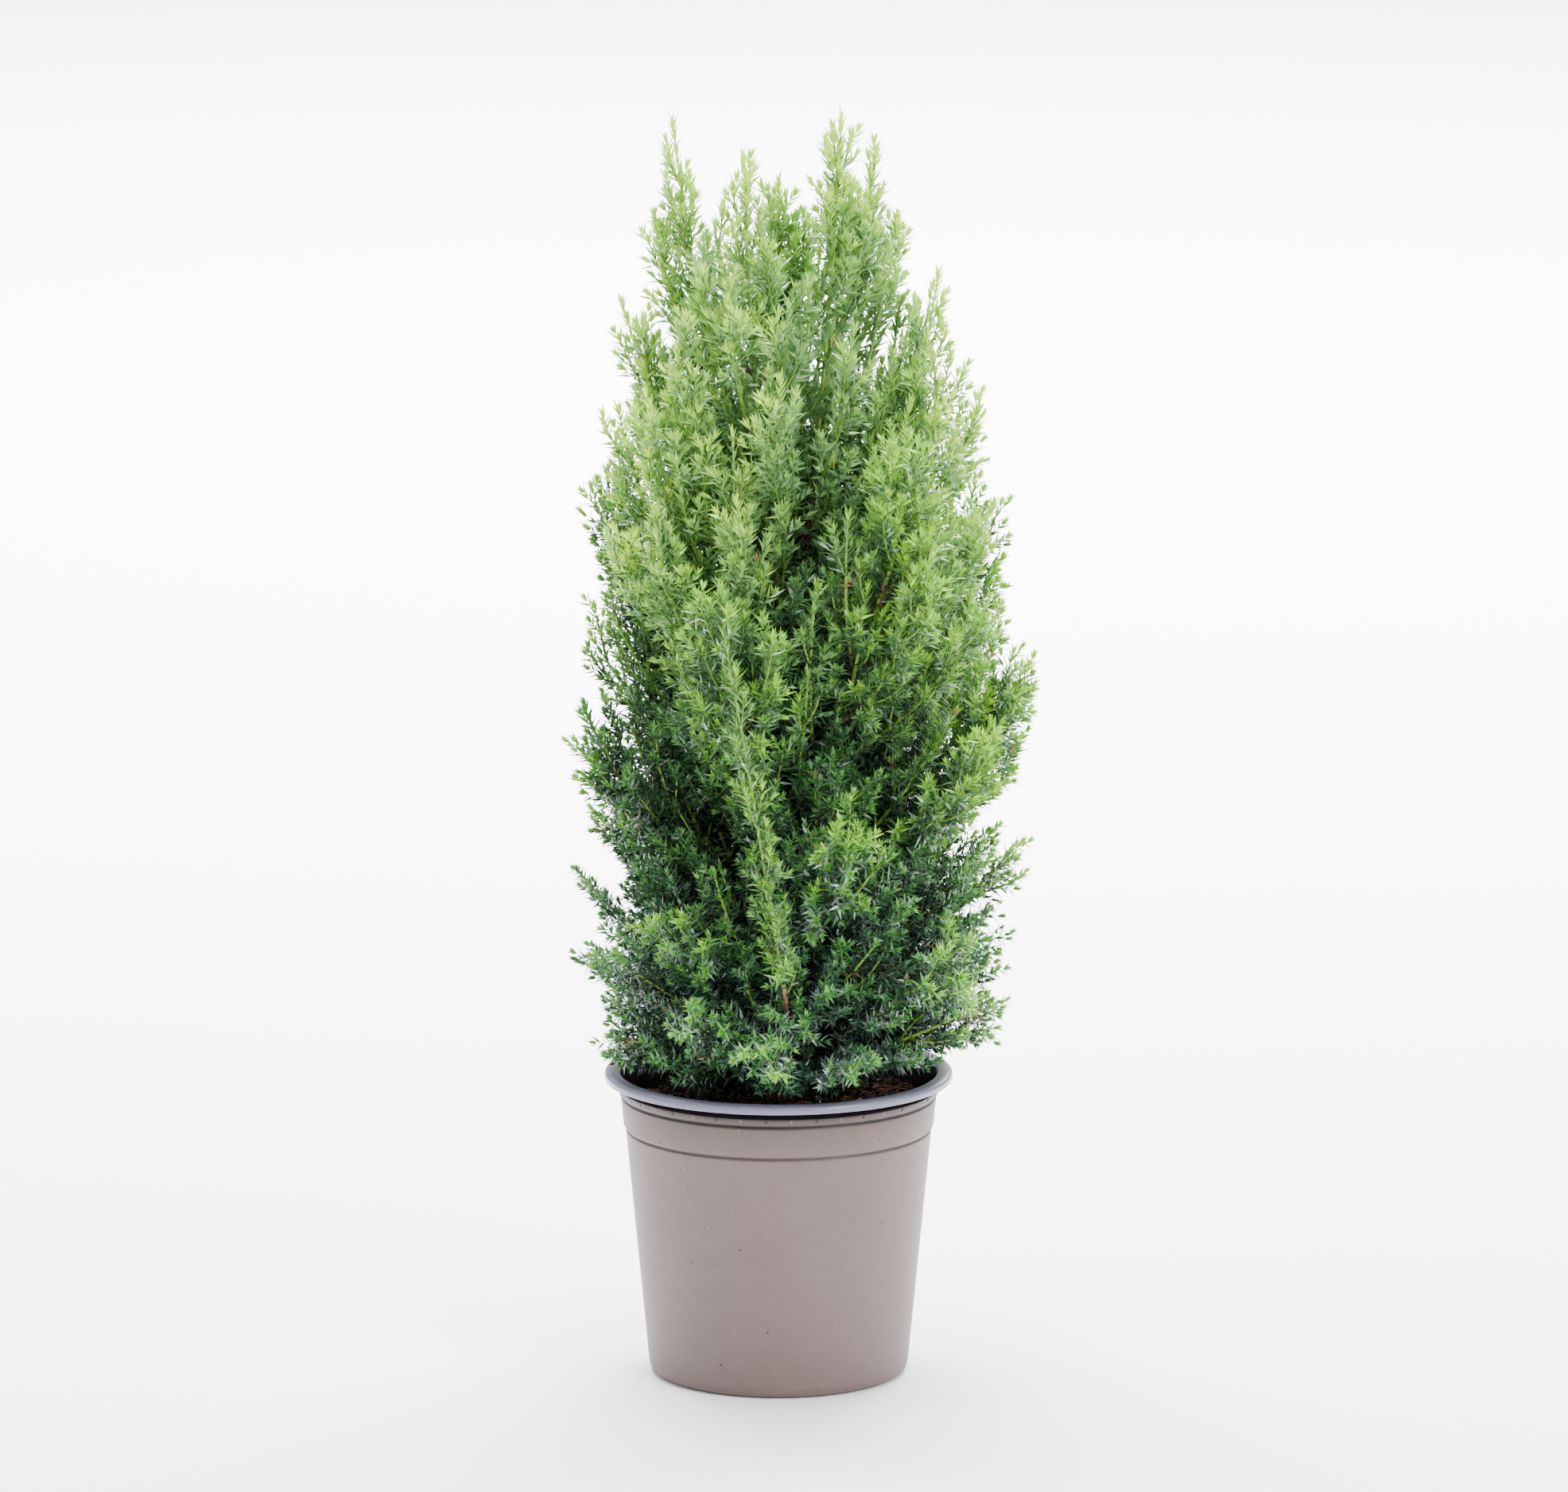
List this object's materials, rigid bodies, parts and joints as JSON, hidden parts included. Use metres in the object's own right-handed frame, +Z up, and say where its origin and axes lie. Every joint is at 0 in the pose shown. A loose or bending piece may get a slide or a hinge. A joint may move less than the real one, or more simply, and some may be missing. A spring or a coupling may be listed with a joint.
{
  "type": "potted lawson cypress",
  "caption": "Young bushy conifer with upright leaders and feathery green foliage, growing in a round tapered plastic nursery pot filled with soil.",
  "frame": {"origin": "centre of the pot's flat underside", "axes": "+Z up along the pot's axis, -Y towards the side seen from the front"},
  "size_m": [0.1916, 0.2042, 0.479],
  "materials": {
    "pot_plastic": "matt warm taupe moulded plastic with a paler silvery lip",
    "soil": "dark moist peat with bark chips and fibres",
    "bark": "thin reddish-brown peeling bark",
    "foliage": "soft juvenile needles, yellow-green at the tips and deep green inside"
  },
  "bodies": {
    "root": {"bough_01": "bark", "bough_02": "bark", "bough_03": "bark", "bough_04": "bark", "bough_05": "bark", "bough_06": "bark", "bough_07": "bark", "bough_08": "bark", "bough_09": "bark", "bough_10": "bark", "bough_11": "bark", "bough_12": "bark", "bough_13": "bark", "bough_14": "bark", "bough_15": "bark", "bough_16": "bark", "bough_17": "bark", "bough_18": "bark", "bough_19": "bark", "bough_20": "bark", "bough_21": "bark", "bough_22": "bark", "bough_23": "bark", "bough_24": "bark", "bough_25": "bark", "bough_26": "bark", "foliage_01": "foliage", "foliage_02": "foliage", "foliage_03": "foliage", "foliage_04": "foliage", "foliage_05": "foliage", "foliage_06": "foliage", "foliage_07": "foliage", "foliage_08": "foliage", "foliage_09": "foliage", "foliage_10": "foliage", "foliage_11": "foliage", "foliage_12": "foliage", "foliage_13": "foliage", "foliage_14": "foliage", "foliage_15": "foliage", "foliage_16": "foliage", "foliage_17": "foliage", "foliage_18": "foliage", "foliage_19": "foliage", "foliage_20": "foliage", "foliage_21": "foliage", "foliage_22": "foliage", "foliage_23": "foliage", "foliage_24": "foliage", "foliage_25": "foliage", "foliage_26": "foliage", "foliage_27": "foliage", "pot": "pot_plastic", "potting_soil": "soil", "trunk": "bark"}
  },
  "joints": []
}
